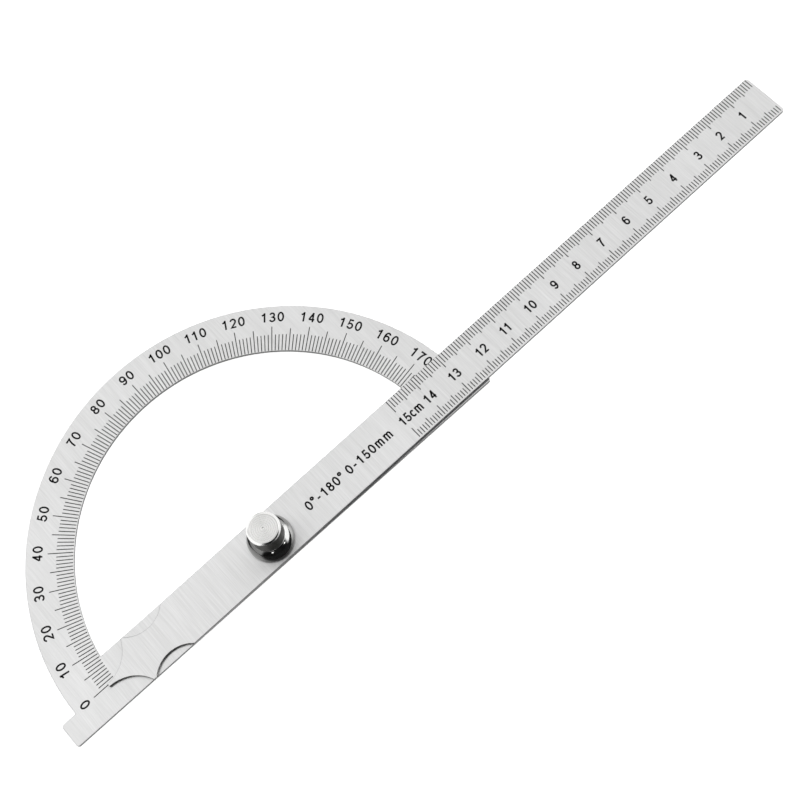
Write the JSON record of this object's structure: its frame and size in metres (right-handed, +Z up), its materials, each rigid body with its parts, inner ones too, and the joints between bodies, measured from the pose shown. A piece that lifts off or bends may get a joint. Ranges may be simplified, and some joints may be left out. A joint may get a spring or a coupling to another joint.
{
  "type": "protractor goniometer",
  "caption": "Flat half-ring steel protractor on a straight base bar, with a long pivoting rule arm clamped by a knurled thumb nut.",
  "frame": {"origin": "on the pivot axis, at the plate's back face", "axes": "+X along the base bar towards the 180 degree end and the free end of the rule arm, +Y to the 90 degree mark, +Z up through the thumb nut"},
  "size_m": [0.2804, 0.0818, 0.0129],
  "materials": {
    "plate_steel": "satin stainless sheet, brushed across the base bar",
    "arm_steel": "satin stainless sheet, brushed across the arm",
    "stud_steel": "turned stainless steel",
    "washer_polymer": "matte nylon",
    "nut_metal": "nickel plated, polished flange, turned top, knurled head",
    "scale_ink": "matt black etched scale markings"
  },
  "bodies": {
    "protractor": {"protractor_plate": "plate_steel", "pivot_stud": "stud_steel"},
    "arm": {"ruler_arm": "arm_steel"},
    "washer": {"friction_washer": "washer_polymer"},
    "nut": {"thumb_nut": "nut_metal"}
  },
  "joints": [
    {"name": "arm_swing", "type": "hinge", "parent": "protractor", "child": "arm", "pos_m": [0, 0, 0.0015], "axis": [0, 0, 1], "continuous": true},
    {"name": "nut_lift", "type": "slide", "parent": "protractor", "child": "washer", "axis": [0, 0, 1], "range_m": [0, 0.0064]},
    {"name": "nut_turn", "type": "hinge", "parent": "washer", "child": "nut", "pos_m": [0, 0, 0.0025], "axis": [0, 0, 1], "range_deg": [0, 2880]}
  ],
  "couplings": [
    {"joint": "nut_lift", "follows": "nut_turn", "m_per_rad": 0.00012732}
  ]
}
